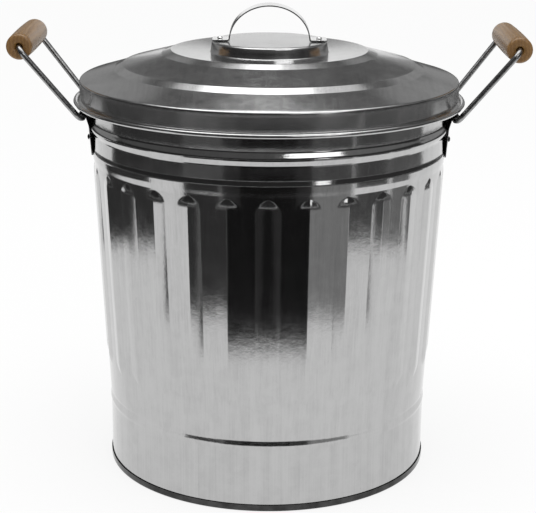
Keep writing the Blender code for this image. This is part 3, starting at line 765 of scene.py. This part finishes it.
wireAngles = evenAngles(handleSizes["wireSides"])
wireSection = handleSizes["wire"] / 2 * np.stack([np.cos(wireAngles), np.sin(wireAngles)], 1)
plateOutside = float(plateLine(handleSizes["rivetHeight"])) + handleSizes["plate"] / 2
rivetTurn = math.asin(handleSizes["rivetSpacing"] / 2 / plateOutside)
headSeat = plateOutside + handleSizes["gap"]
cadSides = 44  # the flats of the CAD's wall lie this much nearer to the axis than its corners
tailSeat = (bodySizes["waistRadius"] - bodySizes["sheet"]) * math.cos(math.pi / cadSides) - handleSizes["gap"]
for side, turn in (("right", 0.0), ("left", math.pi)):
    turnMatrix, armMatrix = Matrix.Rotation(turn, 4, "Z"), bailMatrix(turn)
    points, faces = slab(bracketGrid(), handleSizes["plate"])
    softEdges(makePiece(side + "Bracket", placed(points, turnMatrix), faces, bracketSteel, "bin",
                        [side + "_bracket"]))
    for number, sign in ((1, -1), (2, 1)):
        around = Matrix.Rotation(turn + sign * rivetTurn, 4, "Z")
        out = Matrix.Translation((headSeat, 0, handleSizes["rivetHeight"]))
        matrix = around @ out @ Matrix.Rotation(math.pi / 2, 4, "Y")
        makeRivet(side + "BracketRivet" + str(number), matrix, headSeat - tailSeat, bracketSteel, "bin",
                  side + "_bracket_rivet_" + str(number))
    points, faces = swept(bailPath(), (0, 0, 1), wireSection)
    makePiece(side + "Bail", placed(points, armMatrix), faces, wireSteel, side + "_bail",
              [side + "_bail"], 60)
    points, faces = turned(gripOutline(), evenAngles(handleSizes["gripColumns"]))
    reach = Matrix.Translation((handleSizes["reach"], 0, 0))
    matrix = armMatrix @ reach @ Matrix.Rotation(math.pi / 2, 4, "X")
    makePiece(side + "Grip", placed(points, matrix), faces, wood, side + "_grip",
              [side + "_grip"], 50)
print("handles made")

# the stage: pale floor, soft lamps and the cards that the metal reflects

stageLook = {"floorRadius": 9.0, "floorTone": 0.90, "floorShare": 0.82, "worldDiffuse": 0.90}
# where the cards lie and how their edges fade, in degrees at a side and metres at the near edge
cardSizes = {
    "sideFade": (0.6, 0.2, 1.0),  # clear this far past a side, solid this far inside it, even from there
    "nearFade": (0.03, 0.05), "nearVeil": (0, 0.5, 0.97),
    "floorHeight": 0.004, "floorStep": 0.001,  # each floor card lies a little above the one before it
    "wallDistance": (2.65, 2.62), "paleTone": 0.34, "wallCentre": 0.38, "lowFade": 1.0, "highFade": 3.0,
    "ceilingFade": (0.06, 0.05),
}
# azimuth from the front in degrees (right is positive), distance from the bin's axis in metres, and tone
floorCards = {
    "front": (-17.0, 17.0, 0.51, 2.17, 0.012),
    "frontLeftEdge": (-27.8, -17.0, 0.51, 2.17, 0.035),
    "frontRightEdge": (17.0, 26.0, 0.51, 2.17, 0.035),
    "frontGap": (-29.0, -27.8, 0.59, 1.30, 0.30),
    "frontLeft": (-51.5, -29.0, 0.59, 1.30, 0.045),
    "frontLeftFar": (-53.0, -27.8, 1.30, 2.17, 0.11),
    "frontRight": (26.0, 50.8, 0.575, 1.30, 0.30),
    "frontRightFar": (26.0, 52.0, 1.30, 2.17, 0.09),
    "right": (53.0, 77.0, 0.82, 2.17, 0.09),
    "rightOuter": (80.0, 96.0, 0.80, 1.35, 0.22),
    "rightOuterFar": (77.0, 111.0, 1.35, 2.17, 0.13),
    "left": (-76.5, -53.0, 1.15, 2.17, 0.05),
    "leftOuter": (-124.0, -76.5, 0.79, 1.35, 0.045),
    "leftOuterFar": (-114.0, -76.5, 1.35, 2.17, 0.045),
    "back": (164.0, 196.0, 0.50, 1.30, 0.02),
    "backLeftFar": (-176.0, -114.0, 1.85, 2.17, 0.08),
    "backRightFar": (111.0, 176.0, 1.85, 2.17, 0.10),
    "skirtLeft": (-176.0, -48.0, 2.17, 2.6, 0.16),
    "skirt": (-48.0, 18.0, 2.17, 2.6, 0.36),
    "skirtLight": (18.0, 48.0, 2.17, 2.6, 0.34),
    "skirtRight": (48.0, 176.0, 2.17, 2.6, 0.14),
}
# azimuths, elevations from the bin's top, and tone
wallCards = {
    "room": (-109.0, 26.0, -10.0, 14.0, 0.030),
    "roomRight": (26.0, 109.0, -10.0, 14.0, 0.045),
    "roomBackLeft": (-174.0, -109.0, -10.0, -1.0, 0.050),
    "roomBackRight": (109.0, 171.0, -10.0, -1.0, 0.060),
    "roomHigh": (-150.0, 9.0, 14.0, 45.0, 0.110),
    "roomHighRight": (48.0, 120.0, 14.0, 45.0, 0.200),
    "ceilingBack": (110.0, 250.0, 14.0, 47.0, 0.13),
    "backLow": (110.0, 169.0, 0.0, 14.0, 0.32),
    "backLowLeft": (191.0, 250.0, 0.0, 14.0, 0.32),
    "ringGlow": (140.0, 163.0, 15.0, 34.0, 0.36),
    "ringGlowLeft": (197.0, 220.0, 15.0, 34.0, 0.36),
    "behindKey": (9.0, 48.0, 14.0, 47.0, 0.14),
    "lowKey": (28.5, 37.0, -3.0, 2.0, 2.2),
}
# left and right edge, near and far edge of a level card overhead, its height, and tone
ceilingCards = {
    "riserLight": (-0.58, 0.38, 0.48, 1.00, 2.02, 3.2),
    "innerRiserLight": (-0.26, 0.15, 1.06, 1.30, 2.02, 3.6),
}
lamps = {
    "overhead": {"place": (-0.07, -0.15, 2.05), "target": (0, -0.15, 0.4), "size": (0.95, 2.30),
                 "radiance": 1.9},
    "key": {"azimuth": 30.0, "elevation": 30.0, "distance": 2.4, "target": (0, 0, 0.36), "size": (1.35, 0.64),
            "radiance": 2.6},
}


def polar(azimuth, distance, height):
    # azimuth 0 is the front, -Y, and grows to the right
    angle, distance, height = np.broadcast_arrays(np.radians(azimuth), distance, height)
    return np.stack([distance * np.sin(angle), -distance * np.cos(angle), height], -1)


def stageFinish(name, tone):
    # a card's own tone, clear where its veil attribute is 0
    f = Finish(name)
    glow = f.node("ShaderNodeEmission", {}, {"Color": grey(tone), "Strength": 1.0})
    clear = f.node("ShaderNodeBsdfTransparent")
    veil = f.node("ShaderNodeAttribute", {"attribute_name": "veil"}, {}, "Fac")
    return f.finished(f.node("ShaderNodeMixShader", {}, {0: veil, 1: clear, 2: glow}))


def makeCard(name, points, veil, tone):
    # only glossy rays see a card, so it shades neither the floor nor the view
    rows, columns = veil.shape
    mesh = bpy.data.meshes.new(name)
    mesh.from_pydata(points.reshape(-1, 3).tolist(), [], gridFaces(rows, columns).tolist())
    mesh.attributes.new("veil", "FLOAT", "POINT").data.foreach_set("value", veil.astype(np.float32).ravel())
    mesh.materials.append(stageFinish(name, tone))
    card = bpy.data.objects.new(name, mesh)
    bpy.context.scene.collection.objects.link(card)
    card.visible_camera = card.visible_diffuse = card.visible_shadow = card.visible_transmission = False


def softShares(count, first=0):
    # 0 at both ends and 1 inside; a card that doesn't fade at its first row has first = 1
    share = np.ones(count)
    share[0], share[-1] = first, 0
    return share


def cardAzimuths(start, end, count):
    # a card's columns, with a narrow strip at each side for its fade
    past, before, clear = cardSizes["sideFade"]
    middle = np.linspace(start + clear, end - clear, count)
    return np.concatenate([[start - past, start + before], middle, [end - before, end + past]])


for number, (name, (start, end, near, far, tone)) in enumerate(floorCards.items()):
    azimuth = cardAzimuths(start, end, 20)
    fade, clear = cardSizes["nearFade"]
    distance = np.concatenate([[near - fade, near, near + fade], np.linspace(near + clear, far, 8)])
    inner = np.ones(len(distance))
    inner[:3] = cardSizes["nearVeil"]
    grid = polar(azimuth[None], distance[:, None], cardSizes["floorHeight"] + cardSizes["floorStep"] * number)
    makeCard("floorCard_" + name, grid, inner[:, None] * softShares(len(azimuth))[None], tone)

for name, (start, end, low, high, tone) in wallCards.items():
    azimuth = cardAzimuths(start, end, 30)
    elevation = np.concatenate([[low - cardSizes["lowFade"]], np.linspace(low, high, 12),
                                [high + cardSizes["highFade"]]])
    distance = cardSizes["wallDistance"][0 if tone < cardSizes["paleTone"] else 1]
    rise = np.radians(elevation)[:, None]
    grid = polar(azimuth[None], distance * np.cos(rise), cardSizes["wallCentre"] + distance * np.sin(rise))
    veil = softShares(len(elevation), 1)[:, None] * softShares(len(azimuth))[None]
    makeCard("wallCard_" + name, grid, veil, tone)

for name, (left, right, near, far, height, tone) in ceilingCards.items():
    fadeX, fadeY = cardSizes["ceilingFade"]
    x = np.concatenate([[left], np.linspace(left + fadeX, right - fadeX, 6), [right]])
    y = np.concatenate([[near], np.linspace(near + fadeY, far - fadeY, 4), [far]])
    grid = np.stack(np.broadcast_arrays(x[None], y[:, None], height), -1)
    makeCard("ceilingCard_" + name, grid, softShares(len(y))[:, None] * softShares(len(x))[None], tone)


def seenRays(f):
    # 1 for rays from the camera, metal or glass, which see the plain white, and 0 for those that carry light
    path = f.tree.nodes.new("ShaderNodeLightPath")
    camera, glossy, clear = [Value(f, path.outputs[key]) for key in
                             ("Is Camera Ray", "Is Glossy Ray", "Is Transmission Ray")]
    return (camera + glossy + clear).between(0, 1)


def makeFloor():
    # a pale disc: most of what the camera and the metal see of it is plain white, the rest holds the shadow
    rings = np.array([0.0, 0.3, 0.6, 1, 2, 4, stageLook["floorRadius"]])
    azimuth = np.linspace(0, 360, 97)
    points = polar(azimuth[None], rings[:, None], -0.0002).reshape(-1, 3)
    mesh = bpy.data.meshes.new("floor")
    mesh.from_pydata(points.tolist(), [], gridFaces(len(rings), len(azimuth)).tolist())
    f = Finish("paleFloor")
    plain = f.node("ShaderNodeBsdfDiffuse", {}, {"Color": grey(stageLook["floorTone"])})
    white = f.node("ShaderNodeEmission", {}, {"Color": grey(1.0), "Strength": 1.0})
    share = seenRays(f) * stageLook["floorShare"]
    mesh.materials.append(f.finished(f.node("ShaderNodeMixShader", {}, {0: share, 1: plain, 2: white})))
    floor = bpy.data.objects.new("floor", mesh)
    bpy.context.scene.collection.objects.link(floor)


makeFloor()


def makeLamp(name, place, target, size, radiance):
    # an area lamp of that radiance, in watts, that looks at its target
    light = bpy.data.lights.new(name, "AREA")
    light.shape, light.size, light.size_y = "RECTANGLE", size[0], size[1]
    light.energy = radiance * size[0] * size[1] * math.pi
    lamp = bpy.data.objects.new(name, light)
    bpy.context.scene.collection.objects.link(lamp)
    lamp.location = place
    lamp.rotation_euler = (lamp.location - Vector(target)).to_track_quat("Z", "Y").to_euler()
    lamp.visible_camera = False


overhead, key = lamps["overhead"], lamps["key"]
makeLamp("overheadLamp", overhead["place"], overhead["target"], overhead["size"], overhead["radiance"])
lift = math.radians(key["elevation"])
keyHeight = key["target"][2] + key["distance"] * math.sin(lift)
keyPlace = polar(key["azimuth"], key["distance"] * math.cos(lift), keyHeight)
makeLamp("keyLamp", keyPlace.tolist(), key["target"], key["size"], key["radiance"])

studio = Finish("studio", world=True)
dim = studio.node("ShaderNodeBackground", {}, {"Color": grey(1.0), "Strength": stageLook["worldDiffuse"]})
white = studio.node("ShaderNodeBackground", {}, {"Color": grey(1.0), "Strength": 1.0})
bpy.context.scene.world = studio.finished(
    studio.node("ShaderNodeMixShader", {}, {0: seenRays(studio), 1: dim, 2: white}))

# the camera, as fitted to the rings of the bin in the photograph

cameraView = {"place": (0.0, -1.538, 0.648), "pitch": 16.03, "roll": 0.41, "pixels": 1580.9,
              "imageWidth": 536, "sensorWidth": 36.0}
cameraData = bpy.data.cameras.new("camera")
cameraData.sensor_width = cameraView["sensorWidth"]
cameraData.lens = cameraView["pixels"] * cameraData.sensor_width / cameraView["imageWidth"]
camera = bpy.data.objects.new("camera", cameraData)
bpy.context.scene.collection.objects.link(camera)
tilt = Matrix.Rotation(math.radians(90 - cameraView["pitch"]), 4, "X")
camera.matrix_world = (Matrix.Translation(cameraView["place"]) @ tilt
                       @ Matrix.Rotation(math.radians(cameraView["roll"]), 4, "Z"))
bpy.context.scene.camera = camera
bpy.context.scene.view_settings.view_transform = "Standard"
print("stage made")
